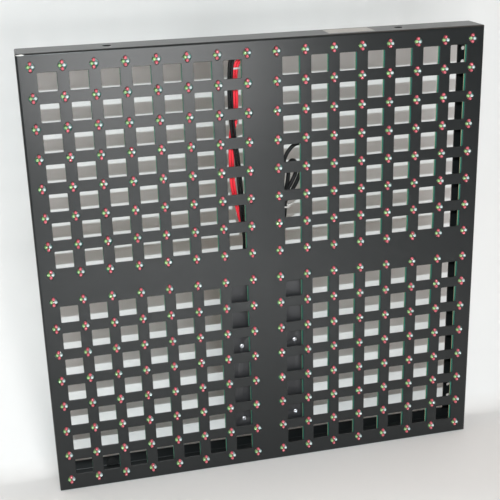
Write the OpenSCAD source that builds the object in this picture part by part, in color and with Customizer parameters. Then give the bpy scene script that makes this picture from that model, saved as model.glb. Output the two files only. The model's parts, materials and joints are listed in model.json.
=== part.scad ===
// See-through LED dot matrix panel: a folded black sheet tray with a grid of square
// openings, 16 x 16 pixels of four LEDs on upright board strips behind it, and the
// supply box, hub board and leads at the back.
// The panel stands on its lower wall. X is its width, +Y is away from the viewer, +Z is up.
// Depths are measured from the front face of the sheet towards the back.

/* [Pixel grid] */
// Distance between neighbouring pixels, both ways
pitch = 31.25; // [30:0.25:34]
// From the outer pixel line to the outside of the tray
edge_margin = 13.5; // [12.5:0.5:20]

/* [Tray] */
// Depth of the folded tray, front face to rear flange
tray_depth = 40; // [38.5:0.5:60]
// Thickness of the tray's sheet
sheet = 1.5; // [1:0.1:1.8]
// Outside radius of the folds
fold_r = 2.5; // [2:0.1:4]
// Radius of the welded corners
corner_r = 2; // [1.9:0.1:4]
// Width of the rear flange
flange_w = 13; // [10:0.5:16]
// Side of a see-through opening
opening = 19.2; // [15:0.2:19.4]
// Corner radius of a see-through opening
opening_r = 1.1; // [0.8:0.1:3]

/* [Tray fixings] */
// Diameter of the joining holes in the top and bottom walls
join_hole = 9; // [6:0.5:12]
// Pixel steps between the two joining holes of a wall
join_steps = 10; // [6:2:14]
// Diameter of the flange holes
flange_hole = 4.5; // [3:0.1:6]
// From the tray's corner to the first flange hole
flange_hole_first = 30; // [20:1:40]
// Spacing of the two flange holes of a pair
flange_hole_step = 15; // [10:0.5:25]

/* [LEDs] */
// Diameter of an LED head
led_d = 3.75; // [3:0.05:3.8]
// Height of an LED over its board
led_h = 7; // [6.5:0.1:8]
// Diameter of the collar at the LED's foot
led_collar_d = 3.86; // [3.82:0.02:3.9]
// Half the distance between the two red LEDs of a pixel
red_offset = 3.25; // [3.25:0.05:3.8]
// Half the distance between the green and the blue LED
green_offset = 2.2; // [2.2:0.05:2.4]
// Gap between the LED heads and the edge of their cut-out
led_gap = 0.5; // [0.2:0.05:0.6]

/* [LED bars] */
// Width of an LED bar
bar_w = 12; // [11.6:0.2:14]
// Thickness of the circuit boards
board_t = 1.6; // [1.2:0.1:1.9]
// Gap between the tray's sheet and the LED bars
bar_gap = 3.5; // [3:0.1:3.8]
// How far a bar runs past its end pixels
bar_over = 8; // [7:0.5:11]
// Depth of the pin headers on the bars
header_h = 4; // [3:0.5:5]
// Depth of the sockets on the hub board
socket_h = 6; // [5:0.5:7]
// Length of the headers and sockets
header_l = 16; // [12:0.5:18]

/* [Hub board] */
// Height of the hub board
hub_h = 27.75; // [22:0.25:30]

/* [Supply box] */
// Width of the supply box
box_w = 90; // [86:1:100]
// Height of the supply box
box_h = 190; // [172:1:212]
// Depth of the supply box without its cover
box_depth = 25; // [24:0.5:26]
// Depth at which the front of the supply box lies
box_front = 10; // [9.8:0.1:10.5]
// Gap between the supply box and the hub board over it
box_gap = 4; // [2:0.5:7]
// Sideways place of the box from the middle of the tray
box_x = 2; // [0:0.5:3]
// Thickness of the box's sheet
box_sheet = 1.2; // [1:0.1:1.5]
// Corner radius of the box
box_r = 2; // [1.6:0.1:4]

/* [Supply and receiver] */
// Spacing of the supply board's screws across
supply_step_x = 62.5; // [50:0.5:66]
// Spacing of the supply board's screws upwards
supply_step_z = 93.5; // [80:0.5:96]
// Height of the boards' spacers over the box's front plate
spacer_h = 6; // [5:0.5:6.5]

/* [Leads] */
// Diameter of a power wire
wire_d = 3; // [2.4:0.1:3.2]
// Diameter of the data lead
data_d = 4.4; // [3.6:0.1:4.6]

/* [Label] */
// Length of the blank label on the top wall
label_l = 50; // [30:1:80]
// Width of the blank label
label_w = 26; // [15:1:30]

/* [Hidden] */

pixels = 16;
half = pixels / 2;
last = pixels - 1;
tray_w = last * pitch + 2 * edge_margin;
led_proud = led_h - sheet - bar_gap;
front_y = -(tray_depth - led_proud) / 2;
bar_d = sheet + bar_gap;
bar_back = bar_d + board_t;
hub_d = bar_back + header_h + socket_h;
hub_back = hub_d + board_t;
hub_z = row_z(half - 0.5);
box_top = hub_z - hub_h / 2 - box_gap;
box_z = box_top - box_h;
box_in = box_front + box_sheet;
box_back = box_front + box_depth;
exit_depth = box_back - 10;
carrier_d = box_in + spacer_h;
carrier_back = carrier_d + board_t;
receiver_x = box_x;
receiver_z = box_top - 34;
receiver_step_x = 30;
receiver_step_z = 44;
receiver_w = receiver_step_x + 24;
receiver_h = receiver_step_z + 8;
supply_drop = 3.35;
supply_z = (box_z + box_sheet + receiver_z - receiver_h / 2) / 2 - supply_drop;

metal = "#8f9296";
board_green = "#12503c";
black = "#232426";

function col_x(i) = (i - last / 2) * pitch;
function row_z(j) = edge_margin + (last - j) * pitch;
function arc(c, r, a0, a1, n) =
  [for (k = [0 : n]) c + r * [cos(a0 + (a1 - a0) * k / n), sin(a0 + (a1 - a0) * k / n)]];

// An outline in X and Z, from depth d backwards by t
module upright(d, t) translate([0, front_y + d + t, 0]) rotate([90, 0, 0]) linear_extrude(t) children();

module ring(r_out, r_in) difference() {
  circle(r_out, $fn = 32);
  circle(r_in, $fn = 32);
}

// A round-cornered rectangle about the middle
module round_rect(w, h, r) {
  square([w - 2 * r, h], center = true);
  square([w, h - 2 * r], center = true);
  for (x = [-1, 1], y = [-1, 1]) translate([x * (w / 2 - r), y * (h / 2 - r)]) circle(r, $fn = 32);
}

// ---- Tray ----

// A box with folded front and rear edges, middle at the origin, turned so its depth is along Y
module folded_block(w, d, fold, corner) intersection() {
  linear_extrude(w + 2, center = true) round_rect(w, d, fold);
  rotate([0, 90, 0]) linear_extrude(w + 2, center = true) round_rect(w, d, fold);
  rotate([90, 0, 0]) linear_extrude(d + 2, center = true) round_rect(w, w, corner);
}

// Rounded square opening, and the lozenge round the four LED heads
corner_c = opening / 2 - opening_r;
opening_outline = [
  for (q = [0 : 3])
    each arc([[corner_c, corner_c], [-corner_c, corner_c], [-corner_c, -corner_c], [corner_c, -corner_c]][q],
      opening_r, 90 * q, 90 * q + 90, 1)
];
slope = atan2(green_offset, red_offset);
cut_r = led_d / 2 + led_gap;
lozenge_x = green_offset + cut_r;
lozenge_z = red_offset + cut_r;
slant = cut_r + green_offset * cos(slope);
flat_x = (slant - lozenge_z * sin(slope)) / cos(slope);
flat_z = (slant - lozenge_x * cos(slope)) / sin(slope);
lozenge_outline = [
  [lozenge_x, -flat_z], [lozenge_x, flat_z], [flat_x, lozenge_z], [-flat_x, lozenge_z],
  [-lozenge_x, flat_z], [-lozenge_x, -flat_z], [-flat_x, -lozenge_z], [flat_x, -lozenge_z]
];

// Round-topped notch in the lower flange, and its rubber plug
notch_x = -184.5;
notch_r = 6;
notch_z = 4;

module flange_notch(r, z_low) intersection() {
  translate([notch_x, notch_z]) circle(r, $fn = 32);
  translate([notch_x - r, z_low]) square([2 * r, 2 * r]);
}

module housing() color(black) difference() {
  translate([0, front_y + tray_depth / 2, tray_w / 2])
    difference() {
      folded_block(tray_w, tray_depth, fold_r, corner_r);
      folded_block(tray_w - 2 * sheet, tray_depth - 2 * sheet, fold_r - sheet, corner_r - sheet);
    }
  upright(tray_depth - sheet - 1, sheet + 2)
    translate([flange_w - tray_w / 2, flange_w]) square(tray_w - 2 * flange_w);
  for (i = [0 : last - 1], j = [0 : last - 1])
    if (i != half - 1 && j != half - 1)
      translate([col_x(i + 0.5), front_y + sheet + 1, row_z(j + 0.5)])
        rotate([90, 0, 0]) linear_extrude(sheet + 2) polygon(opening_outline);
  for (i = [0 : last], j = [0 : last])
    translate([col_x(i), front_y + sheet + 1, row_z(j)])
      rotate([90, 0, 0]) linear_extrude(sheet + 2) polygon(lozenge_outline);
  for (x = [-1, 1])
    translate([x * join_steps * pitch / 2, front_y + tray_depth / 2, -1])
      cylinder(h = tray_w + 2, d = join_hole, $fn = 32);
  for (x = [-1, 1], z = [flange_hole_first, flange_hole_first + flange_hole_step])
    for (zz = [z, tray_w - z])
      translate([x * (tray_w - flange_w) / 2, front_y + tray_depth + 1, zz])
        rotate([90, 0, 0]) cylinder(h = sheet + 2, d = flange_hole, $fn = 32);
  upright(tray_depth - sheet - 1, sheet + 2) flange_notch(notch_r, sheet);
}

plug_rim = 2;

// The plug, with a rim on its inner side
module flange_grommet() color("#151515") {
  upright(tray_depth - sheet, sheet) flange_notch(notch_r - 0.1, sheet);
  upright(tray_depth - sheet - plug_rim, plug_rim) flange_notch(notch_r + 1, fold_r + 0.1);
}

// ---- LED bars ----

stud_rows = [0.5, 5.5, 9.5, 14.5];
stud_d = 3;
stud_clear = 0.2;
stud_over = 0.6;
nut_h = 2.4;
nut_flats = 5.5;
bar_h = last * pitch + 2 * bar_over;

module led_bar(i) color(board_green) upright(bar_d, board_t) difference() {
  translate([col_x(i) - bar_w / 2, edge_margin - bar_over]) square([bar_w, bar_h]);
  for (j = stud_rows) translate([col_x(i), row_z(j)]) circle(d = stud_d + 2 * stud_clear, $fn = 32);
}

// One LED: a collar, a straight head and a round nose
led_r = led_d / 2;
led_collar_h = 0.8;

module led(x, z) translate([x, front_y + bar_d, z]) rotate([90, 0, 0]) rotate_extrude($fn = 24) {
  square([led_collar_d / 2, led_collar_h]);
  square([led_r, led_h - led_r]);
  intersection() {
    translate([0, led_h - led_r]) circle(led_r, $fn = 32);
    square([led_r + 1, led_h + 1]);
  }
}

module led_group(first_row, offsets)
  for (i = [0 : last], j = [first_row : first_row + half - 1], o = offsets)
    led(col_x(i) + o[0], row_z(j) + o[1]);

red_places = [[0, red_offset], [0, -red_offset]];
green_places = [[-green_offset, 0]];
blue_places = [[green_offset, 0]];

// Driver chips on the backs of the bars, each a body with its two rows of legs as one block
chip_rows = [2.5, 6.5, 11.5];
chip_l = 13;
chip_w = 5.3;
chip_h = 1.9;
leg_w = 7.6;
leg_h = 0.6;

module driver_chips() color(black)
  for (i = [0 : last], j = chip_rows) {
    upright(bar_back + 0.1, chip_h) translate([col_x(i), row_z(j)]) square([chip_w, chip_l], center = true);
    upright(bar_back, leg_h) translate([col_x(i), row_z(j)]) square([leg_w, chip_l - 1], center = true);
  }

// ---- Hub board across the middle ----

header_w = 5;
hub_margin = 10;
hub_w = last * pitch + 2 * hub_margin;
hub_post_cols = [0.5, 5.5, 9.5, 14.5];

module bar_headers() color("#e6e4da") for (i = [0 : last])
  upright(bar_back, header_h) translate([col_x(i), hub_z]) square([header_w, header_l], center = true);

module hub_sockets() color("#1b1b1d") for (i = [0 : last])
  upright(bar_back + header_h, socket_h) translate([col_x(i), hub_z])
    square([header_w + 1, header_l + 1], center = true);

module hub_board() color(board_green) upright(hub_d, board_t) difference() {
  translate([0, hub_z]) square([hub_w, hub_h], center = true);
  for (i = hub_post_cols) translate([col_x(i), hub_z]) circle(d = stud_d + 2 * stud_clear, $fn = 32);
}

// ---- Studs, nuts, spacers and screws ----

box_stud_z = [box_z + 12, (box_z + box_top) / 2, box_top - 15];
box_stud_d = 4;
box_nut_h = 3.2;
box_nut_flats = 7;

module pin(x, z, d, l, dia)
  translate([x, front_y + d + l, z]) rotate([90, 0, 0]) cylinder(h = l, d = dia, $fn = 24);

module nut(x, z, d, h, flats, dia) upright(d, h) translate([x, z]) difference() {
  circle(d = flats / cos(30), $fn = 6);
  circle(d = dia + 0.1, $fn = 24);
}

module sleeve(x, z, d, l, dia, bore) upright(d, l) translate([x, z]) ring(dia / 2, bore / 2);

module weld_studs() color(metal) {
  for (i = [0 : last], j = stud_rows)
    pin(col_x(i), row_z(j), sheet, bar_gap + board_t + nut_h + stud_over, stud_d);
  for (z = box_stud_z) pin(0, z, sheet, box_in + box_nut_h + stud_over - sheet, box_stud_d);
}

module bar_spacers() color("#d9d6c8") for (i = [0 : last], j = stud_rows)
  sleeve(col_x(i), row_z(j), sheet, bar_gap, 6, stud_d + 2 * stud_clear);

module stud_nuts() color(metal) {
  for (i = [0 : last], j = stud_rows) nut(col_x(i), row_z(j), bar_back, nut_h, nut_flats, stud_d);
  for (z = box_stud_z) nut(0, z, box_in, box_nut_h, box_nut_flats, box_stud_d);
}

post_bore_l = 8;

module standoffs() color("#b9a76a") {
  for (i = hub_post_cols) translate([col_x(i), front_y + hub_d, hub_z]) rotate([90, 0, 0]) difference() {
    cylinder(h = hub_d - sheet, d = 6, $fn = 32);
    translate([0, 0, -1]) cylinder(h = post_bore_l + 1, d = stud_d + 0.1, $fn = 24);
  }
  for (z = box_stud_z) sleeve(0, z, sheet, box_front - sheet, 9, box_stud_d + 2 * stud_clear);
}

// A pan-head screw whose head faces the back, or the front when turned
pan_h = 2.2;
pan_profile = concat([[0, 0], [2.8, 0]], arc([1.8, pan_h - 1], 1, 0, 90, 3), [[0, pan_h]]);

module screw(x, z, d, l, to_front = false)
  translate([x, front_y + d, z]) rotate([to_front ? 90 : -90, 0, 0]) {
    rotate_extrude($fn = 24) polygon(pan_profile);
    translate([0, 0, -l]) cylinder(h = l + 0.5, d = stud_d, $fn = 24);
  }

carrier_screws = concat(
  [for (x = [-1, 1], z = [-1, 1]) [box_x + x * supply_step_x / 2, supply_z + z * supply_step_z / 2]],
  [for (x = [-1, 1], z = [-1, 1]) [receiver_x + x * receiver_step_x / 2, receiver_z + z * receiver_step_z / 2]]
);
carrier_screw_l = 4;
cover_screw_l = 5;

module rear_screws() color(metal) {
  for (i = hub_post_cols) screw(col_x(i), hub_z, hub_back, board_t + 4);
  for (c = carrier_screws) screw(c[0], c[1], carrier_back, board_t + 2);
  for (c = tab_places) screw(c[0], c[1], box_back + box_sheet, box_sheet + cover_screw_l - 1);
}

// ---- Supply box ----

tab = 9;
tab_t = 6;
tab_places = [
  for (x = [-1, 1], z = [0, 1])
    [box_x + x * (box_w / 2 - box_sheet - tab / 2),
      z * box_top + (1 - z) * box_z + (1 - 2 * z) * (box_sheet + tab / 2)]
];
lead_exit_x = box_x - 22;
lead_exit_d = 14;
lead_bore_d = 10.4;
data_exit_x = box_x + 30;
data_exit_d = 9;
ribbon_w = 22;
ribbon_t = 1.2;
ribbon_x = box_x + 4;

module box_outline(inset) translate([box_x, (box_z + box_top) / 2])
  round_rect(box_w - 2 * inset, box_h - 2 * inset, box_r - inset);

module box_base() color("#2a2b2d") difference() {
  union() {
    upright(box_front, box_sheet) box_outline(0);
    upright(box_front, box_depth) difference() {
      box_outline(0);
      box_outline(box_sheet);
    }
    for (c = tab_places) upright(box_back - tab_t, tab_t) translate(c) square(tab + 0.2, center = true);
  }
  for (c = carrier_screws) pin(c[0], c[1], box_front - 1, box_sheet + 2, stud_d + 2 * stud_clear);
  for (c = tab_places) pin(c[0], c[1], box_back - tab_t - 1, tab_t + 2, stud_d + 0.1);
  for (z = box_stud_z) pin(0, z, box_front - 1, box_sheet + 2, box_stud_d + 2 * stud_clear);
  for (e = [[lead_exit_x, lead_exit_d], [data_exit_x, data_exit_d]])
    translate([e[0], front_y + exit_depth, box_top - box_sheet - 1])
      cylinder(h = box_sheet + 2, d = e[1], $fn = 32);
  translate([ribbon_x, front_y + ribbon_d, box_top])
    cube([ribbon_w + 3, ribbon_t + 4, 2 * box_sheet + 2], center = true);
}

slot_count = 9;
slot_step = 7;
slot_l = 24;
slot_w = 2.6;
slot_x = 18;

module box_cover() color("#2a2b2d") upright(box_back, box_sheet) difference() {
  box_outline(0);
  for (c = tab_places) translate(c) circle(d = stud_d + 2 * stud_clear, $fn = 24);
  for (k = [0 : slot_count - 1], x = [-1, 1])
    translate([box_x + x * slot_x, supply_z + (k - (slot_count - 1) / 2) * slot_step])
      square([slot_l, slot_w], center = true);
}

module box_front_screws() color("#d8dade") for (c = carrier_screws)
  screw(c[0], c[1], box_front, box_sheet + carrier_screw_l - 1, true);

module board_spacers() color("#b9a76a") for (c = carrier_screws)
  sleeve(c[0], c[1], box_in, spacer_h, 5.5, stud_d + 0.1);

// Supply board, low in the box
supply_w = supply_step_x + 9;
supply_h = supply_step_z + 9;

module carrier(x, z, w, h) upright(carrier_d, board_t) difference() {
  translate([x, z]) square([w, h], center = true);
  for (c = carrier_screws) translate(c) circle(d = stud_d + 2 * stud_clear, $fn = 24);
}

module supply_board() color("#7a6a3a") carrier(box_x, supply_z, supply_w, supply_h);

core_w = 28;
core_h = 24;

core_window_w = 16;
core_window_h = 5.2;

// Ferrite core with its two windows
module transformer() color("#3a3a3e")
  upright(carrier_back, 12) translate([box_x - 8, supply_z - 6]) difference() {
    square([core_w, core_h], center = true);
    for (z = [-1, 1]) translate([0, z * 7.5]) square([core_window_w, core_window_h], center = true);
  }

// Each as its place from the board's middle, its height and its diameter
capacitor_places = [[20, -34, 14, 10], [20, -20, 14, 10], [24, 20, 12, 8], [24, 34, 12, 8]];

module capacitors() color("#2c3f6b") for (c = capacitor_places)
  pin(box_x + c[0], supply_z + c[1], carrier_back, c[2], c[3]);

sink_w = 30;
fin_count = 6;
fin_t = 1.5;
fin_l = 11;

module heat_sink() color("#b6b9bd") upright(carrier_back, 13) translate([box_x - 27, supply_z - 33]) {
  square([sink_w, 2]);
  for (k = [0 : fin_count - 1]) translate([k * (sink_w - fin_t) / (fin_count - 1), 0]) square([fin_t, fin_l]);
}

term_ways = 4;
term_step = 7.6;
term_l = term_ways * term_step + 2;
term_size = 12;

module terminal_block() color("#1f2a22")
  translate([box_x + term_x, front_y + carrier_back, term_z]) difference() {
    translate([-term_l / 2, 0, -term_size / 2]) cube([term_l, term_size, term_size]);
    for (k = [0 : term_ways - 1]) translate([(k - (term_ways - 1) / 2) * term_step, 0, 0]) {
      translate([0, foot_inset, 1]) cylinder(h = term_size, d = wire_d + 0.6, $fn = 24);
      translate([0, term_size + 1, -2]) rotate([90, 0, 0]) cylinder(h = 3, d = 4.4, $fn = 24);
    }
  }

term_x = -6;
term_z = supply_z + 32;

// Receiver board, high in the box
jack_x = receiver_x + 20;
jack_z = receiver_z - 6;
jack_l = 12;

module receiver_board() color(board_green) carrier(receiver_x, receiver_z, receiver_w, receiver_h);

module receiver_parts() color(black) {
  upright(carrier_back, 1.6) translate([receiver_x - 4, receiver_z - 4]) square(14, center = true);
  upright(carrier_back, 1.6) translate([receiver_x + 9, receiver_z - 8]) square([5, 8], center = true);
  upright(carrier_back, 11) translate([jack_x, jack_z]) square([9, jack_l], center = true);
}

// Ribbon from the receiver board to the hub board
plug_seat = 5;
plug_t = 5;
ribbon_d = hub_back + plug_seat + plug_t / 2;
ribbon_low = receiver_z + 10;

module ribbon_headers() color("#8d8f92") {
  upright(hub_back, plug_seat) translate([ribbon_x, hub_z]) square([ribbon_w + 4, 7], center = true);
  upright(carrier_back, hub_back + plug_seat - carrier_back)
    translate([ribbon_x, ribbon_low]) square([ribbon_w + 4, 7], center = true);
}

module ribbon_plugs() color(black) for (z = [hub_z, ribbon_low])
  upright(hub_back + plug_seat, plug_t) translate([ribbon_x, z]) square([ribbon_w + 2, 6], center = true);

module ribbon_cable() color("#9a9da1")
  translate([ribbon_x - ribbon_w / 2, front_y + ribbon_d - ribbon_t / 2, ribbon_low + 3])
    cube([ribbon_w, ribbon_t, hub_z - ribbon_low - 6]);

// ---- Grommets, leads, plugs and ties ----

grommet_lip = 1.4;
grommet_lip_t = 1.5;

module grommet(x, hole_d, bore_d) translate([x, front_y + exit_depth, box_top]) rotate_extrude($fn = 32) {
  translate([bore_d / 2, -box_sheet - grommet_lip_t])
    square([(hole_d - bore_d) / 2 - 0.1, box_sheet + 2 * grommet_lip_t]);
  for (z = [0, -box_sheet - grommet_lip_t])
    translate([bore_d / 2, z]) square([(hole_d - bore_d) / 2 + grommet_lip, grommet_lip_t]);
}

module box_grommet() color("#161616") {
  grommet(lead_exit_x, lead_exit_d, lead_bore_d);
  grommet(data_exit_x, data_exit_d, data_d + 1);
}

// A smooth curve through points, with steps rings from one point to the next
function between(a, b, c, d, t) =
  0.5 * (2 * b + t * (c - a) + t * t * (2 * a - 5 * b + 4 * c - d) + t * t * t * (3 * b - a - 3 * c + d));
function before(p, k) = k == 0 ? 2 * p[0] - p[1] : p[k - 1];
function after(p, k) = k == len(p) - 2 ? 2 * p[k + 1] - p[k] : p[k + 2];
function smooth(p, steps) = concat(
  [for (k = [0 : len(p) - 2], s = [0 : steps - 1])
    between(before(p, k), p[k], p[k + 1], after(p, k), s / steps)],
  [p[len(p) - 1]]
);
function unit(v) = v / norm(v);
function tangent(c, k) = unit(c[min(k + 1, len(c) - 1)] - c[max(k - 1, 0)]);
// Sideways in the upright plane, square to the run of the curve
function sideways(c, k) = let (t = tangent(c, k)) unit([t[2], 0, -t[0]]);
function beside(c, s) = [for (k = [0 : len(c) - 1]) c[k] + s * sideways(c, k)];

// A round tube along curve c
module tube(c, d, sides) {
  n = len(c);
  rings = [
    for (k = [0 : n - 1]) let (t = tangent(c, k), u = sideways(c, k), v = cross(t, u))
      for (a = [0 : sides - 1]) c[k] + d / 2 * (cos(360 * a / sides) * u + sin(360 * a / sides) * v)
  ];
  walls = [
    for (k = [0 : n - 2], a = [0 : sides - 1]) let (b = (a + 1) % sides)
      [k * sides + a, (k + 1) * sides + a, (k + 1) * sides + b, k * sides + b]
  ];
  caps = [[for (a = [0 : sides - 1]) a], [for (a = [sides - 1 : -1 : 0]) (n - 1) * sides + a]];
  translate([0, front_y, 0]) polyhedron(rings, concat(walls, caps));
}

// Centre lines of the two pairs of power wires, as across, depth and height
pair_apart = 1.8;
black_start = [for (z = [-44, -18, 6]) [lead_exit_x, exit_depth - pair_apart, box_top + z]];
red_start = [for (z = [-44, -18, 6]) [lead_exit_x, exit_depth + pair_apart, box_top + z]];
black_run = concat(black_start, [
  [-19, 22.5, 258], [-18.8, 20.5, 275], [-22, 16.5, 304], [-24.5, 13, 337], [-27.2, 11.2, 369], [-31, 10.5, 401],
  [-32.6, 10.3, 433], [-31.8, 10.2, 462], [-28.5, 10.8, 477], [-19, 11.5, 486], [-8, 11.5, 484.5], [-1.5, 10, 477],
  [0, 9, 470], [0, 9, 464]
]);
red_run = concat(red_start, [
  [-18, 26.5, 258], [-17.6, 25, 275], [-24.5, 20.5, 304], [-31.5, 16.5, 337], [-32.7, 15, 369], [-31.5, 14.8, 394],
  [-27.5, 14.8, 411], [-26, 15, 433], [-26, 15.2, 456], [-23.5, 15.4, 469], [-16.5, 15.5, 476.5], [-8, 15.5, 477],
  [-2, 14, 472], [0, 13, 467], [0, 13, 463]
]);
wire_beside = wire_d / 2 + 0.05;
plug_top = 460;
plug_l = 22;
plug_w = 12;
plug_front = 5.8;
plug_depth = 10.4;
plug_rows = [9, 13];
plug_pin = 2.9;

// From a terminal to the start of its run, as a share of the way across and a height over the terminal
foot_steps = [[0, 1.5], [0, 9], [0.3, 15], [0.62, 23], [0.88, 34]];
foot_inset = 5;

// One wire: from its terminal, through the grommet, to the plug
module power_wire(run, s, way, row) {
  inside = beside(smooth(run, 2), s * wire_beside);
  foot = [box_x + term_x + (way - (term_ways - 1) / 2) * term_step, carrier_back + foot_inset, term_z];
  tube(concat(
    [for (q = foot_steps) [
      foot[0] + q[0] * (inside[0][0] - foot[0]), foot[1] + q[0] * (inside[0][1] - foot[1]), foot[2] + q[1]
    ]],
    inside, [[-s * wire_beside, plug_rows[row], plug_top]]), wire_d, 8);
}

module power_plug() color("#e8e6dd") translate([0, front_y + plug_front, plug_top - plug_l]) difference() {
  translate([-plug_w / 2, 0, 0]) cube([plug_w, plug_depth, plug_l]);
  for (x = [-1, 1], y = plug_rows)
    translate([x * plug_pin, y - plug_front, -1]) cylinder(h = 15, d = 3.4, $fn = 24);
}

// The data lead: out of the box, twice up and down as a coil, and down to its loose plug
jack_top = jack_z + jack_l / 2;
coil_back = 24.8;
coil_fore = 20.2;
coil_x = [22.4, 27.2];
data_run = [
  [jack_x, exit_depth, jack_top], [jack_x, exit_depth, jack_top + 2], [jack_x, exit_depth, jack_top + 7],
  [26, exit_depth, box_top - 19], [data_exit_x - 0.8, exit_depth, box_top - 12],
  [data_exit_x, exit_depth, box_top - 5], [data_exit_x, exit_depth, box_top + 7],
  [30.5, coil_back, 245], [24.5, coil_back, 251], [15.5, coil_back, 256], [9.5, coil_back, 264],
  [7.5, coil_back, 276], [10.5, coil_back, 289], [17.5, coil_back, 298],
  [coil_x[0], coil_back, 304], [coil_x[0], coil_back, 311],
  [24, coil_back, 323], [26.2, coil_back, 336], [27.2, coil_back, 348], [28.8, coil_back, 359],
  [33, coil_back, 368], [40, 24.6, 375], [47.5, 24, 376], [52, 23, 370], [51.2, 21.8, 361.5], [48, 20.8, 353],
  [44.6, coil_fore, 342.5], [41.2, coil_fore, 334.5], [37, coil_fore, 327], [32, coil_fore, 318.5],
  [27.6, coil_fore, 312], [coil_x[1], coil_fore, 303], [26.4, coil_fore, 296], [24, coil_fore, 290],
  [19.5, coil_fore, 287], [14.8, coil_fore, 290.5], [15.8, coil_fore, 297.5],
  [coil_x[0], coil_fore, 304], [coil_x[0], coil_fore, 311],
  [26.8, coil_fore, 319.5], [31.6, coil_fore, 328], [36, coil_fore, 336], [39.8, coil_fore, 344],
  [41.5, 20.6, 351], [40.4, 21.4, 356.3], [37.4, 22.4, 358.6], [34.6, 23.4, 356], [33.4, 24.2, 350.5],
  [33.2, coil_back, 344], [32, coil_back, 334], [29.2, coil_back, 322.5],
  [coil_x[1], coil_back, 311], [coil_x[1], coil_back, 303], [26, coil_back, 294], [23.2, coil_back, 286],
  [22.5, coil_back, 279], [22.5, coil_back, 277.4], [22.5, coil_back, 276]
];
data_end = data_run[len(data_run) - 1];
data_plug_size = [10, 7, 16];
data_socket = [7, 4, 9];

module data_lead() color("#1a1a1c") tube(smooth(data_run, 2), data_d, 8);

module data_plug() color("#2a2a2c")
  translate([data_end[0], front_y + data_end[1], data_end[2] - data_plug_size[2]]) difference() {
    translate([-data_plug_size[0] / 2, -data_plug_size[1] / 2, 0]) cube(data_plug_size);
    translate([-data_socket[0] / 2, -data_socket[1] / 2, -1]) cube(data_socket);
  }

// Ties: a closed band with its lock, and the base that holds the plug's tie to the sheet
band_t = 0.8;
band_w = 1.8;
lock = 3.8;
tie_x = -24.6;
tie_d = 15.3;
tie_z = 465;
tie_in_w = 7.8;
tie_in_d = 3.9;
base_w = 12;
base_h = plug_front - sheet;
base_slot_d = 3.3;
plug_tie_z = plug_top - 10;
coil_tie_z = 307;
coil_tie_gap = 0.2;
tail_l = 7;
tail_turn = -28;

// The band round an inner space w across and d deep, middle at c
module band(c, w, d) translate([c[0], front_y + c[1], c[2]]) {
  linear_extrude(band_w, center = true) difference() {
    square([w + 2 * band_t, d + 2 * band_t], center = true);
    square([w, d], center = true);
  }
  translate([w / 2, -lock / 2, -lock / 2]) cube([lock, lock, lock]);
}

// The end of a tie, sticking out of its lock
module tail(c, w) translate([c[0] + w / 2 + lock - 1, front_y + c[1], c[2]])
  rotate([0, tail_turn, 0]) translate([0, -band_t / 2, -band_w / 2]) cube([tail_l, band_t, band_w]);

coil_tie = [(coil_x[0] + coil_x[1]) / 2, (coil_back + coil_fore) / 2, coil_tie_z];
coil_tie_w = coil_x[1] - coil_x[0] + data_d + 2 * coil_tie_gap;

module cable_ties() color("#dcdad2") {
  band([tie_x, tie_d, tie_z], tie_in_w, tie_in_d);
  band(coil_tie, coil_tie_w, coil_back - coil_fore + data_d + 2 * coil_tie_gap);
  tail(coil_tie, coil_tie_w);
  band([0, (plug_front + plug_depth + base_slot_d) / 2, plug_tie_z], plug_w + 0.5,
    plug_front + plug_depth + 0.4 - base_slot_d);
  translate([-base_w / 2, front_y + sheet, plug_tie_z - 7]) difference() {
    cube([base_w, base_h, 14]);
    translate([-1, base_slot_d - band_t - 0.4 - sheet, 7 - band_w / 2 - 0.2])
      cube([base_w + 2, band_t + 0.5, band_w + 0.4]);
  }
}

label_x = 100;
label_t = 0.2;

module label() color("#cfcdc6")
  translate([label_x - label_l / 2, front_y + (tray_depth - label_w) / 2, tray_w]) cube([label_l, label_w, label_t]);

housing();
led_bar(0);  // led_bar_01
led_bar(1);  // led_bar_02
led_bar(2);  // led_bar_03
led_bar(3);  // led_bar_04
led_bar(4);  // led_bar_05
led_bar(5);  // led_bar_06
led_bar(6);  // led_bar_07
led_bar(7);  // led_bar_08
led_bar(8);  // led_bar_09
led_bar(9);  // led_bar_10
led_bar(10);  // led_bar_11
led_bar(11);  // led_bar_12
led_bar(12);  // led_bar_13
led_bar(13);  // led_bar_14
led_bar(14);  // led_bar_15
led_bar(15);  // led_bar_16
color("#e8485a") led_group(0, red_places);  // red_leds_upper
color("#e8485a") led_group(half, red_places);  // red_leds_lower
color("#7fc267") led_group(0, green_places);  // green_leds_upper
color("#7fc267") led_group(half, green_places);  // green_leds_lower
color("#bfe3e6") led_group(0, blue_places);  // blue_leds_upper
color("#bfe3e6") led_group(half, blue_places);  // blue_leds_lower
driver_chips();
bar_headers();
hub_sockets();
hub_board();
weld_studs();
bar_spacers();
stud_nuts();
standoffs();
rear_screws();
box_base();
box_cover();
box_front_screws();
board_spacers();
supply_board();
transformer();
capacitors();
heat_sink();
terminal_block();
receiver_board();
receiver_parts();
ribbon_headers();
ribbon_plugs();
ribbon_cable();
box_grommet();
color("#c8202c") power_wire(red_run, -1, 0, 1);  // red_wire_1
color("#c8202c") power_wire(red_run, 1, 2, 1);  // red_wire_2
color("#1b1b1d") power_wire(black_run, -1, 1, 0);  // black_wire_1
color("#1b1b1d") power_wire(black_run, 1, 3, 0);  // black_wire_2
power_plug();
data_lead();
data_plug();
cable_ties();
label();
flange_grommet();
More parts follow.
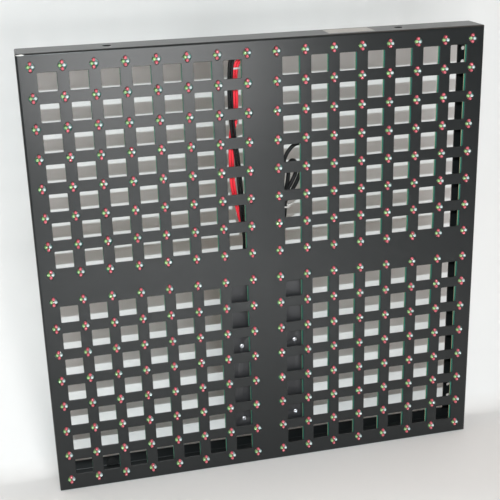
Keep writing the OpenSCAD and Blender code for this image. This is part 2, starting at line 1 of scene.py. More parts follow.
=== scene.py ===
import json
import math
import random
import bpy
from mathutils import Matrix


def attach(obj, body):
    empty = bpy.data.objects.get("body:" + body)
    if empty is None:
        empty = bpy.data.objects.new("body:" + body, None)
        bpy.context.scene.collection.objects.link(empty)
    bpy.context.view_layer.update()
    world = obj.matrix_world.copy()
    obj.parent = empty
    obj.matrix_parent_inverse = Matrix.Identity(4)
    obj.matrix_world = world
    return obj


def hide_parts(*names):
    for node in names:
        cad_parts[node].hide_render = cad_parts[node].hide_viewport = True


bl_info = {
    "name": "LED Dot Matrix Panel",
    "version": (1, 0, 0),
    "blender": (4, 5, 0),
    "location": "View3D > Sidebar > Dot Matrix",
    "description": "Dresses the packed LED dot matrix panel: sheet tray, pixels, boards, supply box and leads",
    "category": "Add Mesh",
}

import bmesh
import bpy
from bpy.props import FloatProperty, FloatVectorProperty, IntProperty, PointerProperty
from mathutils import Euler, Matrix, Vector

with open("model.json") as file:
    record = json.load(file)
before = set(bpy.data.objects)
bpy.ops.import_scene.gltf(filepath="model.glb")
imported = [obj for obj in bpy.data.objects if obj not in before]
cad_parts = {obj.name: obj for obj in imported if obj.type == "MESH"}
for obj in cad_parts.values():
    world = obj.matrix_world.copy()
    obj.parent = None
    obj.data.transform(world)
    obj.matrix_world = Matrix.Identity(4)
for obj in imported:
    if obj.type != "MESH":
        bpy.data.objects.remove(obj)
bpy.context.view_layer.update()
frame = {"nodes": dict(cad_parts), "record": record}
MM = 0.001


# ---------------------------------------------------------------- settings


def length(name, description, default):
    """A setting in metres."""
    return FloatProperty(name=name, description=description, default=default, unit="LENGTH", subtype="DISTANCE")


def colour(name, description, default):
    """A setting that is a linear colour."""
    return FloatVectorProperty(name=name, description=description, default=default, subtype="COLOR", min=0, max=1)


class TraySettings(bpy.types.PropertyGroup):
    sheet: length("Sheet", "Thickness of the folded sheet", 0.0015)
    width: length("Width", "Width and height of the tray", 0.49575)
    fold: length("Fold radius", "Outside radius of the folds", 0.0025)
    opening: length("Opening", "Side of a see-through opening", 0.0192)
    opening_r: length("Opening corner", "Corner radius of a see-through opening", 0.0011)
    gap: length("LED gap", "Gap between the LED heads and the edge of their cut-out", 0.0005)
    rim: length("Rim", "Width of the worn edge round every opening", 0.00022)
    paint: colour("Powder coat", "Colour of the tray's powder coat", (0.013, 0.0145, 0.015))
    box_paint: colour("Box paint", "Colour of the supply box", (0.028, 0.028, 0.030))
    label: colour("Label", "Colour of the blank label", (0.47, 0.475, 0.465))


class PixelSettings(bpy.types.PropertyGroup):
    pitch: length("Pitch", "Distance between neighbouring pixels", 0.03125)
    edge: length("Edge margin", "From the outer pixels to the outside of the tray", 0.0135)
    front: length("Front face", "Place of the tray's front face", -0.019)
    foot: length("LED foot", "Depth of the boards' faces behind the front face", 0.005)
    head: length("Head diameter", "Diameter of an LED head", 0.00375)
    height: length("LED height", "Height of an LED over its board", 0.007)
    red_offset: length("Red offset", "Half the distance between a pixel's red LEDs", 0.00325)
    green_offset: length("Green offset", "Half the distance between green and blue", 0.0022)
    tilt: FloatProperty(
        name="Tilt", description="Largest tilt of a hand-set LED", default=math.radians(4.0), subtype="ANGLE"
    )
    seed: IntProperty(name="Seed", description="Seed of the LEDs' tilts", default=7)
    red: colour("Red lens", "Colour of the red epoxy", (0.85, 0.15, 0.19))
    green: colour("Green lens", "Colour of the green epoxy", (0.38, 0.62, 0.27))
    clear: colour("Clear lens", "Colour of the water-clear epoxy", (0.70, 0.92, 0.93))


class BoardSettings(bpy.types.PropertyGroup):
    mask: colour("Solder mask", "Colour of the circuit boards", (0.012, 0.125, 0.092))
    core: colour("Board core", "Colour of a board's cut edge", (0.50, 0.47, 0.28))
    supply: colour("Supply board", "Colour of the paper-laminate board", (0.22, 0.15, 0.06))


class LeadSettings(bpy.types.PropertyGroup):
    wire: length("Wire", "Diameter of a power wire", 0.003)
    data: length("Data lead", "Diameter of the data lead", 0.0044)
    red: colour("Red insulation", "Colour of the red wires", (0.74, 0.022, 0.04))
    black: colour("Black insulation", "Colour of the black wires", (0.006, 0.006, 0.0065))
    nylon: colour("Nylon", "Colour of the ties and the plug", (0.44, 0.42, 0.40))


class StageSettings(bpy.types.PropertyGroup):
    cloth: colour("Stage", "Colour of the tent's floor and walls", (0.78, 0.78, 0.78))
    start: length("Back wall", "Where the tent's back wall starts to rise behind the panel", 0.03)
    lift: length("Lamp height", "Height of the front lamp over the lens", 0.109)
    lamp: FloatProperty(name="Front lamp", description="Power of the lamp over the lens in watts", default=10.4)
    glare: FloatProperty(name="Glare", description="Power of the low front softbox in watts", default=6.8)
    pool: FloatProperty(name="Pool", description="Power of the lamp over the floor in front in watts", default=1.2)
    fill: FloatProperty(name="Fill", description="Power of each overhead softbox in watts", default=4.3)
    world: FloatProperty(name="World", description="Strength of the even light outside the tent", default=0.06)


SETTINGS = {
    "matrix_tray": TraySettings,
    "matrix_pixels": PixelSettings,
    "matrix_boards": BoardSettings,
    "matrix_leads": LeadSettings,
    "matrix_stage": StageSettings,
}


# ---------------------------------------------------------------- making


def deselect():
    """Leaves edit mode and selects nothing."""
    if bpy.context.mode != "OBJECT":
        bpy.ops.object.mode_set(mode="OBJECT")
    bpy.ops.object.select_all(action="DESELECT")


def only(obj):
    """Selects this object alone and makes it the active one."""
    deselect()
    obj.hide_viewport = False
    obj.select_set(True)
    bpy.context.view_layer.objects.active = obj


def applied(obj):
    """The object as a mesh at the origin, with its place in its mesh."""
    only(obj)
    if obj.type != "MESH":
        bpy.ops.object.convert(target="MESH")
        obj = bpy.context.object
    bpy.ops.object.transform_apply(location=True, rotation=True, scale=True)
    return obj


def settle(obj, name, material, replaced=()):
    """A finished piece: its place in its mesh, one material, riding on the panel."""
    obj = applied(obj)
    obj.name = name
    obj.data.name = name
    obj.data.materials.clear()
    obj.data.materials.append(material)
    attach(obj, "root")
    if replaced:
        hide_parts(*replaced)
    return obj


def joined(objects, name):
    """The objects made into one."""
    deselect()
    for o in objects:
        o.select_set(True)
    bpy.context.view_layer.objects.active = objects[0]
    bpy.ops.object.join()
    made = bpy.context.object
    made.name = name
    return made


def smooth(obj, degrees):
    """Smooth shading, with edges over this angle left sharp."""
    only(obj)
    bpy.ops.object.shade_smooth_by_angle(angle=math.radians(degrees), keep_sharp_edges=False)


def linked(name, data):
    """A new object in the scene that shows this data."""
    made = bpy.data.objects.new(name, data)
    bpy.context.scene.collection.objects.link(made)
    return made


def shaped(obj, modifier):
    """The object with this modifier made part of its mesh."""
    only(obj)
    bpy.ops.object.modifier_apply(modifier=modifier.name)
    return obj


def edged(obj, width, segments=2):
    """Rounds the object's edges of over 30 degrees."""
    bevel = obj.modifiers.new("Edges", "BEVEL")
    bevel.width = width
    bevel.segments = segments
    bevel.limit_method = "ANGLE"
    bevel.angle_limit = math.radians(30)
    bevel.use_clamp_overlap = True
    return shaped(obj, bevel)


def block(size, middle):
    """A box of this size about this point."""
    bpy.ops.mesh.primitive_cube_add(size=1, location=middle)
    made = bpy.context.object
    made.dimensions = size
    return applied(made)


def copies(pattern, places, name):
    """One mesh holding a copy of the pattern at each place, and the pattern is taken away."""
    corners = [v.co.copy() for v in pattern.data.vertices]
    faces = [tuple(p.vertices) for p in pattern.data.polygons]
    points, sides = [], []
    for place in places:
        start = len(points)
        points.extend([place @ c for c in corners])
        sides.extend([tuple(start + k for k in f) for f in faces])
    mesh = bpy.data.meshes.new(name)
    mesh.from_pydata(points, [], sides)
    mesh.update()
    bpy.data.objects.remove(pattern)
    return linked(name, mesh)


def softened(node, width, drop=None):
    """A copy of a CAD solid with its flat faces joined up and its edges rounded off, without the faces to drop."""
    copy = linked(node + "_copy", frame["nodes"][node].data.copy())
    only(copy)
    bpy.ops.object.mode_set(mode="EDIT")
    bpy.ops.mesh.select_all(action="SELECT")
    bpy.ops.mesh.remove_doubles(threshold=0.000001)
    if drop:
        mesh = bmesh.from_edit_mesh(copy.data)
        for face in mesh.faces:
            face.select = all(drop(v.co) for v in face.verts)
        bmesh.update_edit_mesh(copy.data)
        bpy.ops.mesh.delete(type="FACE")
        bpy.ops.mesh.select_all(action="SELECT")
    bpy.ops.mesh.dissolve_limited(angle_limit=math.radians(1.0))
    bpy.ops.object.mode_set(mode="OBJECT")
    smooth(edged(copy, width), 40)
    return copy


# ---------------------------------------------------------------- finishes


# places of the Mix node's colour sockets: its two inputs and its output
MIX_FIRST, MIX_SECOND, MIX_RESULT = 6, 7, 2


class Nodes:
    """A short way to write a material's node tree."""

    def __init__(self, name):
        self.material = bpy.data.materials.new(name)
        self.material.use_nodes = True
        self.tree = self.material.node_tree
        self.tree.nodes.clear()
        self.out = self.add("ShaderNodeOutputMaterial")
        self.shader = self.add("ShaderNodeBsdfPrincipled")
        self.link(self.shader, "BSDF", self.out, "Surface")
        self.place = self.add("ShaderNodeTexCoord")

    def add(self, kind, **choices):
        node = self.tree.nodes.new(kind)
        for key, value in choices.items():
            setattr(node, key, value)
        return node

    def link(self, a, a_socket, b, b_socket):
        self.tree.links.new(a.outputs[a_socket], b.inputs[b_socket])

    def noise(self, scale, detail=3.0, roughness=0.5, stretch=None):
        """Noise in the piece's own place, finer along an axis that is stretched."""
        made = self.add("ShaderNodeTexNoise")
        made.inputs["Scale"].default_value = scale
        made.inputs["Detail"].default_value = detail
        made.inputs["Roughness"].default_value = roughness
        if stretch:
            turn = self.add("ShaderNodeMapping")
            turn.inputs["Scale"].default_value = stretch
            self.link(self.place, "Object", turn, "Vector")
            self.link(turn, "Vector", made, "Vector")
        else:
            self.link(self.place, "Object", made, "Vector")
        return made

    def ranged(self, source, socket, low, high, start=0.3, end=0.7):
        """A value that goes from low to high while its source goes from start to end."""
        made = self.add("ShaderNodeMapRange")
        made.inputs["From Min"].default_value = start
        made.inputs["From Max"].default_value = end
        made.inputs["To Min"].default_value = low
        made.inputs["To Max"].default_value = high
        self.link(source, socket, made, "Value")
        return made

    def mixed(self, factor, socket, first, second):
        """Colour that goes from first to second. Either may be a colour or a (node, socket) pair."""
        made = self.add("ShaderNodeMix", data_type="RGBA")
        self.link(factor, socket, made, "Factor")
        for k, value in ((MIX_FIRST, first), (MIX_SECOND, second)):
            if isinstance(value[0], bpy.types.Node):
                self.tree.links.new(value[0].outputs[value[1]], made.inputs[k])
            else:
                made.inputs[k].default_value = (*value[:3], 1)
        return made

    def bump(self, source, socket, strength, distance):
        made = self.add("ShaderNodeBump")
        made.inputs["Strength"].default_value = strength
        made.inputs["Distance"].default_value = distance
        self.link(source, socket, made, "Height")
        self.link(made, "Normal", self.shader, "Normal")

    def paint(self, mix):
        """Gives the shader the colour of a Mix node."""
        self.link(mix, MIX_RESULT, self.shader, "Base Color")

    def inside_only(self):
        """Clear from outside, so that a closed piece doesn't hide what stands in it."""
        sides = self.add("ShaderNodeNewGeometry")
        clear = self.add("ShaderNodeBsdfTransparent")
        blend = self.add("ShaderNodeMixShader")
        self.link(sides, "Backfacing", blend, "Fac")
        self.link(clear, "BSDF", blend, 1)
        self.link(self.shader, "BSDF", blend, 2)
        self.link(blend, "Shader", self.out, "Surface")


def tint(base, amount):
    """The colour made lighter or darker."""
    return tuple(min(1.0, max(0.0, c * amount)) for c in base)


def moulded(
    name, base, rough, metal=0.0, spread=0.12, scale=60.0, grain=2500.0, depth=0.00002, coat=0.0, specular=0.5
):
    """A plain finish with clouded colour, uneven gloss and a fine grain."""
    n = Nodes(name)
    cloud = n.noise(scale, 4.0)
    n.paint(n.mixed(cloud, "Fac", tint(base, 1 - spread), tint(base, 1 + spread)))
    patches = n.noise(scale * 3.1, 2.0)
    n.link(n.ranged(patches, "Fac", max(0.05, rough - 0.07), min(1.0, rough + 0.07)), "Result", n.shader, "Roughness")
    n.shader.inputs["Metallic"].default_value = metal
    n.shader.inputs["Coat Weight"].default_value = coat
    n.shader.inputs["Specular IOR Level"].default_value = specular
    n.bump(n.noise(grain, 2.0), "Fac", 0.35, depth)
    return n.material


def brushed(name, base, rough, along="Z"):
    """Bare metal with fine lines drawn along X or Z."""
    n = Nodes(name)
    stretch = {"X": (20, 900, 900), "Z": (900, 900, 20)}[along]
    lines = n.noise(2.0, 4.0, 0.6, stretch)
    n.paint(n.mixed(lines, "Fac", tint(base, 0.82), tint(base, 1.12)))
    n.link(n.ranged(lines, "Fac", rough - 0.08, rough + 0.12), "Result", n.shader, "Roughness")
    n.shader.inputs["Metallic"].default_value = 1.0
    n.bump(lines, "Fac", 0.15, 0.00002)
    return n.material


def powder_coat(name, base, rough, chip=None):
    """Satin powder coat: fine orange peel, faint cloudy rub marks, and a bare chip at a place if one is given."""
    n = Nodes(name)
    cloud = n.noise(9.0, 5.0, 0.55)
    fine = n.noise(420.0, 2.0)
    mixed = n.mixed(cloud, "Fac", tint(base, 0.94), tint(base, 1.06))
    rubbed = n.ranged(cloud, "Fac", rough + 0.015, rough - 0.015)
    peel = n.noise(900.0, 2.5, 0.55)
    if chip:
        away = n.add("ShaderNodeVectorMath", operation="SUBTRACT")
        n.link(n.place, "Object", away, 0)
        away.inputs[1].default_value = chip
        thin = n.add("ShaderNodeVectorMath", operation="MULTIPLY")
        n.link(away, 0, thin, 0)
        thin.inputs[1].default_value = (230, 250, 1500)
        reach = n.add("ShaderNodeVectorMath", operation="LENGTH")
        n.link(thin, 0, reach, 0)
        jagged = n.add("ShaderNodeMath", operation="ADD")
        n.link(fine, "Fac", jagged, 0)
        n.link(reach, "Value", jagged, 1)
        bare = n.ranged(jagged, 0, 1.0, 0.0, 1.35, 1.6)
        mixed = n.mixed(bare, "Result", (mixed, MIX_RESULT), (0.62, 0.62, 0.60))
    n.paint(mixed)
    n.shader.inputs["Specular IOR Level"].default_value = 0.36
    n.link(rubbed, "Result", n.shader, "Roughness")
    n.bump(peel, "Fac", 0.22, 0.00012)
    return n.material


def circuit_board(name, mask, core, traces=True):
    """Green solder mask with faint copper runs under it, and a pale sawn edge."""
    n = Nodes(name)
    upward = n.add("ShaderNodeTexBrick")
    upward.inputs["Scale"].default_value = 180.0
    upward.inputs["Mortar Size"].default_value = 0.09
    upward.inputs["Mortar Smooth"].default_value = 0.2
    turn = n.add("ShaderNodeMapping")
    turn.inputs["Rotation"].default_value = (math.radians(90), 0, math.radians(90))
    n.link(n.place, "Object", turn, "Vector")
    n.link(turn, "Vector", upward, "Vector")
    cloud = n.noise(35.0, 3.0)
    deep = n.mixed(cloud, "Fac", tint(mask, 0.8), tint(mask, 1.25))
    runs = n.mixed(upward, "Fac", (deep, MIX_RESULT), tint(mask, 1.9)) if traces else deep
    side = n.add("ShaderNodeSeparateXYZ")
    n.link(n.place, "Normal", side, 0)
    flat = n.add("ShaderNodeMath", operation="ABSOLUTE")
    n.link(side, 1, flat, 0)
    cut = n.ranged(flat, 0, 1.0, 0.0, 0.35, 0.6)
    weave = n.noise(1.0, 3.0, 0.5, (300, 2600, 300))
    sawn = n.mixed(weave, "Fac", tint(core, 0.7), tint(core, 1.2))
    n.paint(n.mixed(cut, "Result", (runs, MIX_RESULT), (sawn, MIX_RESULT)))
    n.link(n.ranged(cut, "Result", 0.28, 0.75, 0, 1), "Result", n.shader, "Roughness")
    n.bump(upward, "Fac", 0.25, 0.00004)
    return n.material


def lens(name, base, deep):
    """Tinted epoxy head: painted shade in a deeper colour where the head turns away from the view, a paler painted-lit
    nose where it faces the view, and a glossy skin.
    """
    n = Nodes(name)
    spots = n.noise(130.0, 2.0)
    even = n.mixed(spots, "Fac", tint(base, 0.62), tint(base, 1.5))
    # painted shade and light: the colour deepens towards the head's outline as seen, and stays pale where the head
    # faces the view
    rim = n.add("ShaderNodeLayerWeight")
    rim.inputs["Blend"].default_value = 0.35
    n.paint(n.mixed(rim, "Facing", (even, MIX_RESULT), deep))
    n.shader.inputs["Roughness"].default_value = 0.12
    n.shader.inputs["IOR"].default_value = 1.52
    n.shader.inputs["Transmission Weight"].default_value = 0.25
    n.shader.inputs["Coat Weight"].default_value = 0.6
    n.shader.inputs["Coat Roughness"].default_value = 0.06
    return n.material


def striped(name, base, scale):
    """Flat cable: soft ridges side by side along X, with painted shade darkening the grooves between them."""
    n = Nodes(name)
    wave = n.add("ShaderNodeTexWave", wave_type="BANDS", bands_direction="X", wave_profile="SIN")
    wave.inputs["Scale"].default_value = scale
    n.link(n.place, "Object", wave, "Vector")
    # painted shade: the colour darkens where the bump sinks into the grooves between the ridges
    n.paint(n.mixed(wave, "Fac", tint(base, 0.6), tint(base, 1.15)))
    n.shader.inputs["Roughness"].default_value = 0.45
    n.bump(wave, "Fac", 0.6, 0.0002)
    return n.material


def paper(name, base):
    """Matt label paper, a little stained."""
    n = Nodes(name)
    fibres = n.noise(900.0, 5.0, 0.6)
    stain = n.noise(45.0, 3.0)
    dull = n.mixed(stain, "Fac", tint(base, 0.88), tint(base, 1.06))
    n.paint(n.mixed(n.ranged(fibres, "Fac", 0, 0.12), "Result", (dull, MIX_RESULT), tint(base, 0.6)))
    n.link(n.ranged(fibres, "Fac", 0.5, 0.7), "Result", n.shader, "Roughness")
    n.bump(fibres, "Fac", 0.2, 0.00004)
    return n.material


FINISH = {}


def finish(name):
    """A finish that the first step made."""
    return FINISH[name]


# ---------------------------------------------------------------- places

# pixels along each side, and the gap between pixels that the plain cross fills
COUNT = 16
CROSS = 7
# depths behind the tray's front face, in millimetres
BAR_BACK = 6.6
FRONT_SCREWS = 10
HUB_SCREWS = 18.2
CARRIER_SCREWS = 18.8
COVER_SCREWS = 36.2
# the supply box, in millimetres: its middle across, its top and bottom, and its cover's screws from there
BOX_X, BOX_TOP, BOX_LOW = 2.0, 230.0, 40.0
COVER_REACH, COVER_INSET = 39.3, 5.7
# the boards in the box, in millimetres: middle across and up, and the steps between their screws
SUPPLY = (BOX_X, 102.25, 62.5, 93.5)
RECEIVER = (BOX_X, 196.0, 30.0, 44.0)
# the middle of the four wire terminals: across, deep and up, and the step between them, in millimetres
TERMINALS = (BOX_X - 6, 23.8, 134.25)
TERMINAL_STEP = 7.6
# height at which the wires end in the plug, in millimetres
PLUG_Z = 460
# pixel rows at which a bar has its driver chips and its resistors, and the hub board's row and screw columns
CHIP_ROWS = (2.5, 6.5, 11.5)
RESISTOR_ROWS = (1.5, 3.5, 4.5, 8.5, 10.5, 12.5, 13.5)
HUB_ROW = 7.5
HUB_COLUMNS = (0.5, 5.5, 9.5, 14.5)


def column(i):
    """The place across of pixel column i, counted from the left."""
    p = bpy.context.scene.matrix_pixels
    return (i - (COUNT - 1) / 2) * p.pitch


def row(j):
    """The height of pixel row j, counted from the top."""
    p = bpy.context.scene.matrix_pixels
    return p.edge + (COUNT - 1 - j) * p.pitch


def depth(d):
    """A depth in millimetres behind the front face, as a place along Y in metres."""
    return bpy.context.scene.matrix_pixels.front + d * MM


# ---------------------------------------------------------------- operators


class MATRIX_OT_finishes(bpy.types.Operator):
    """Makes the finishes and gives them to the solids that show as they are"""

    bl_idname = "matrix.finishes"
    bl_label = "Finishes"

    def execute(self, context):
        scene = context.scene
        tray, boards, leads, pixels = scene.matrix_tray, scene.matrix_boards, scene.matrix_leads, scene.matrix_pixels
        FINISH.update(
            tray=powder_coat("tray_powder_coat", tray.paint, 0.29, chip=(-0.2425, -0.0175, 0.4944)),
            box=powder_coat("box_paint", tray.box_paint, 0.45),
            label=paper("label_paper", tray.label),
            board=circuit_board("board_green", boards.mask, boards.core),
            supply_board=circuit_board("board_tan", boards.supply, tint(boards.supply, 1.4), traces=False),
            red=lens("red_epoxy", pixels.red, tint(pixels.red, 0.5)),
            green=lens("green_epoxy", pixels.green, tint(pixels.green, 0.4)),
            # the clear heads' deep colour is the board's teal, a painted reflection of the board round their outline
            clear=lens("clear_epoxy", pixels.clear, (0.05, 0.34, 0.32)),
            chip=moulded("chip_epoxy", (0.018, 0.018, 0.019), 0.55, grain=3000.0),
            pale=moulded("nylon_natural", (0.72, 0.70, 0.62), 0.45),
            black=moulded("plastic_black", (0.018, 0.018, 0.020), 0.42),
            zinc=brushed("zinc_plate", (0.62, 0.63, 0.66), 0.28),
            brass=brushed("turned_brass", (0.62, 0.46, 0.21), 0.28, "X"),
            core=moulded("ferrite", (0.05, 0.05, 0.055), 0.7, spread=0.3),
            sleeve=moulded("can_sleeve", (0.03, 0.06, 0.16), 0.25, coat=0.3),
            aluminium=brushed("extruded_aluminium", (0.72, 0.73, 0.75), 0.35),
            header=moulded("header_grey", (0.28, 0.29, 0.30), 0.5),
            ribbon=striped("ribbon_grey", (0.40, 0.41, 0.43), 250.0),
            rubber=moulded("rubber_black", (0.015, 0.015, 0.015), 0.62, scale=120.0, depth=0.00004),
            red_wire=moulded("pvc_red", leads.red, 0.5, scale=90.0, specular=0.35),
            black_wire=moulded("pvc_black", leads.black, 0.52, scale=90.0, specular=0.22),
            nylon=moulded("nylon_white", leads.nylon, 0.42, spread=0.05),
            solder=moulded("solder", (0.62, 0.62, 0.60), 0.3, metal=1.0, grain=1500.0),
        )
        slots = {
            "tray_paint": "tray", "board": "board", "supply_board": "supply_board", "red_lens": "red",
            "green_lens": "green", "clear_lens": "clear", "chip": "chip", "pale_plastic": "pale",
            "black_plastic": "black", "zinc": "zinc", "brass": "brass", "box_paint": "box", "core": "core",
            "can_sleeve": "sleeve", "aluminium": "aluminium", "header_grey": "header", "ribbon": "ribbon",
            "rubber": "rubber", "red_wire": "red_wire", "black_wire": "black_wire", "white_nylon": "nylon",
            "label": "label",
        }
        for part in frame["record"]["subparts"]:
            node = frame["nodes"][part["node"]]
            node.data.materials.clear()
            node.data.materials.append(finish(slots[part["material_slot"]]))
        return {"FINISHED"}


def arc(middle, radius, start, end, steps):
    """Points on an arc, from one angle in degrees to the other."""
    turns = [math.radians(start + (end - start) * k / steps) for k in range(steps + 1)]
    return [(middle[0] + radius * math.cos(t), middle[1] + radius * math.sin(t)) for t in turns]


def opening_outline(extra):
    """A round-cornered see-through opening, widened by extra, about its middle."""
    t = bpy.context.scene.matrix_tray
    c = t.opening / 2 - t.opening_r
    corners = ((c, c), (-c, c), (-c, -c), (c, -c))
    return [q for k, m in enumerate(corners) for q in arc(m, t.opening_r + extra, 90 * k, 90 * k + 90, 4)]


def cut_out_outline(extra):
    """The lozenge round the four LED heads of a pixel, widened by extra."""
    t, p = bpy.context.scene.matrix_tray, bpy.context.scene.matrix_pixels
    radius = p.head / 2 + t.gap + extra
    slope = math.degrees(math.atan2(p.green_offset, p.red_offset))
    around = (
        ((p.green_offset, 0), -slope, slope), ((0, p.red_offset), slope, 180 - slope),
        ((-p.green_offset, 0), 180 - slope, 180 + slope), ((0, -p.red_offset), 180 + slope, 360 - slope),
    )
    return [q for m, start, end in around for q in arc(m, radius, start, end, 4)]


def rim_pattern(outline):
    """The wall of one opening through the sheet, with a worn front edge."""
    t = bpy.context.scene.matrix_tray
    rows = ((t.rim, 0), (t.rim * 0.3, t.rim * 0.3), (0, t.rim), (0, t.sheet))
    points, sides = [], []
    for extra, deep in rows:
        points += [(x, deep, z) for x, z in outline(extra)]
    count = len(points) // len(rows)
    for k in range(len(rows) - 1):
        for a in range(count):
            b = (a + 1) % count
            sides.append((k * count + a, k * count + b, (k + 1) * count + b, (k + 1) * count + a))
    mesh = bpy.data.meshes.new("rim")
    mesh.from_pydata(points, [], sides)
    return linked("rim", mesh)


def pierced(square, holes, deep, name):
    """One flat face of the sheet: a square with holes in it, at this place along Y."""
    path = bpy.data.curves.new(name, "CURVE")
    path.dimensions = "2D"
    path.fill_mode = "FRONT"
    low, high = square
    outer = [(low[0], low[1]), (high[0], low[1]), (high[0], high[1]), (low[0], high[1])]
    for outline in [outer] + holes:
        spline = path.splines.new("POLY")
        spline.points.add(len(outline) - 1)
        for point, q in zip(spline.points, outline):
            point.co = (q[0], q[1], 0, 1)
        spline.use_cyclic_u = True
    made = linked(name, path)
    made.rotation_euler = (math.radians(90), 0, 0)
    made.location = (0, deep, 0)
    return applied(made)


class MATRIX_OT_tray(bpy.types.Operator):
    """Makes the tray's sheet afresh: its folded walls, and a front with round-cornered, worn openings"""

    bl_idname = "matrix.tray"
    bl_label = "Tray"

    def execute(self, context):
        t, p = context.scene.matrix_tray, context.scene.matrix_pixels
        gaps = [k for k in range(COUNT - 1) if k != CROSS]
        openings = [(column(i + 0.5), row(j + 0.5)) for i in gaps for j in gaps]
        pixels = [(column(i), row(j)) for i in range(COUNT) for j in range(COUNT)]
        half = t.width / 2 - t.fold
        square = ((-half, t.fold), (half, t.width - t.fold))
        tiny = 0.00002

        def flat_front(co):
            return (
                abs(co.x) < half + tiny and t.fold - tiny < co.z < t.width - t.fold + tiny
                and co.y < p.front + t.sheet + tiny
            )

        pieces = [softened("housing", 0.0003, drop=flat_front)]
        for deep, extra, name in ((p.front, t.rim, "front_face"), (p.front + t.sheet, 0, "back_face")):
            holes = []
            for outline, places in ((opening_outline(extra), openings), (cut_out_outline(extra), pixels)):
                holes += [[(x + a, z + b) for a, b in outline] for x, z in places]
            pieces.append(pierced(square, holes, deep, name))
        for outline, places in ((opening_outline, openings), (cut_out_outline, pixels)):
            spots = [Matrix.Translation((x, p.front, z)) for x, z in places]
            pieces.append(copies(rim_pattern(outline), spots, "rims"))
        tray = joined(pieces, "tray_sheet")
        bpy.ops.object.mode_set(mode="EDIT")
        bpy.ops.mesh.select_all(action="SELECT")
        bpy.ops.mesh.remove_doubles(threshold=0.000002)
        bpy.ops.mesh.normals_make_consistent(inside=False)
        bpy.ops.object.mode_set(mode="OBJECT")
        smooth(tray, 35)
        even = tray.modifiers.new("Even", "WEIGHTED_NORMAL")
        even.keep_sharp = True
        even.weight = 100
        shaped(tray, even)
        settle(tray, "tray_finished", finish("tray"), ["housing"])
        return {"FINISHED"}


def led_pattern(p):
    """One LED head on its collar, foot at the origin and nose towards -Y."""
    r, lip = p.head / 2, 0.0001
    collar, step = 0.0008, 0.00005
    deselect()
    bpy.ops.mesh.primitive_circle_add(
        vertices=12, radius=r + lip, fill_type="NOTHING", rotation=(math.radians(90), 0, 0)
    )
    head = bpy.context.object
    bpy.ops.object.transform_apply(location=False, rotation=True, scale=False)
    bpy.ops.object.mode_set(mode="EDIT")
    bpy.ops.mesh.select_all(action="SELECT")

    def rise(distance, ratio):
        bpy.ops.mesh.extrude_region_move(TRANSFORM_OT_translate={"value": (0, -distance, 0)})
        bpy.ops.transform.resize(value=(ratio, 1, ratio), center_override=(0, 0, 0))

    rise(collar, 1.0)
    rise(step, r / (r + lip))
    rise(p.height - r - collar - step, 1.0)
    rise(r * 0.5, 0.866)
    rise(r * 0.36, 0.51 / 0.866)
    rise(r * 0.14, 0.12)
    bpy.ops.mesh.edge_face_add()
    bpy.ops.mesh.select_all(action="SELECT")
    bpy.ops.mesh.normals_make_consistent(inside=False)
    bpy.ops.object.mode_set(mode="OBJECT")
    return head


class MATRIX_OT_pixels(bpy.types.Operator):
    """Sets the four LEDs of every pixel, each a little out of true as when set by hand"""

    bl_idname = "matrix.pixels"
    bl_label = "Pixels"

    def execute(self, context):
        p = context.scene.matrix_pixels
        chance = random.Random(p.seed)
        kinds = (
            ("red_leds", "red", "red_lens", [(0, p.red_offset), (0, -p.red_offset)]),
            ("green_leds", "green", "green_lens", [(-p.green_offset, 0)]),
            ("blue_leds", "clear", "clear_lens", [(p.green_offset, 0)]),
        )
        for node, look, slot, offsets in kinds:
            for half, first in (("upper", 0), ("lower", COUNT // 2)):
                places = []
                for i in range(COUNT):
                    for j in range(first, first + COUNT // 2):
                        for dx, dz in offsets:
                            tilt = Euler((chance.gauss(0, 0.5) * p.tilt, 0, chance.gauss(0, 0.5) * p.tilt))
                            foot = Vector((column(i) + dx, p.front + p.foot, row(j) + dz))
                            places.append(Matrix.Translation(foot) @ tilt.to_matrix().to_4x4())
                group = copies(led_pattern(p), places, f"{node}_{half}_heads")
                smooth(group, 50)
                settle(group, f"{node}_{half}_heads", finish(look), [f"{node}_{half}"])
        return {"FINISHED"}


def between(a, b, c, d, t):
    """The point at share t from b to c, on a smooth curve through a, b, c and d."""
    return 0.5 * (2 * b + t * (c - a) + t * t * (2 * a - 5 * b + 4 * c - d) + t**3 * (3 * b - a - 3 * c + d))


def curved(points, steps):
    """A smooth run through points that are across, depth and height in millimetres."""
    p = [Vector(q) for q in points]
    p = [2 * p[0] - p[1]] + p + [2 * p[-1] - p[-2]]
    run = []
    for k in range(1, len(p) - 2):
        run += [between(p[k - 1], p[k], p[k + 1], p[k + 2], s / steps) for s in range(steps)]
    return run + [p[-2]]


def placed(q):
    """A point in metres, from across, depth and height in millimetres."""
    return Vector((q[0] * MM, depth(q[1]), q[2] * MM))


def beside(run, offset):
    """The run moved sideways in the upright plane."""
    out = []
    for k, q in enumerate(run):
        t = (run[min(k + 1, len(run) - 1)] - run[max(k - 1, 0)]).normalized()
        out.append(q + offset * Vector((t[2], 0, -t[0])).normalized())
    return out


def tube(points, diameter, name):
    """A round tube along points in metres."""
    path = bpy.data.curves.new(name, "CURVE")
    path.dimensions = "3D"
    path.bevel_depth = diameter / 2
    path.bevel_resolution = 3
    path.use_fill_caps = True
    spline = path.splines.new("POLY")
    spline.points.add(len(points) - 1)
    for point, q in zip(spline.points, points):
        point.co = (*q, 1)
    made = applied(linked(name, path))
    smooth(made, 60)
    return made


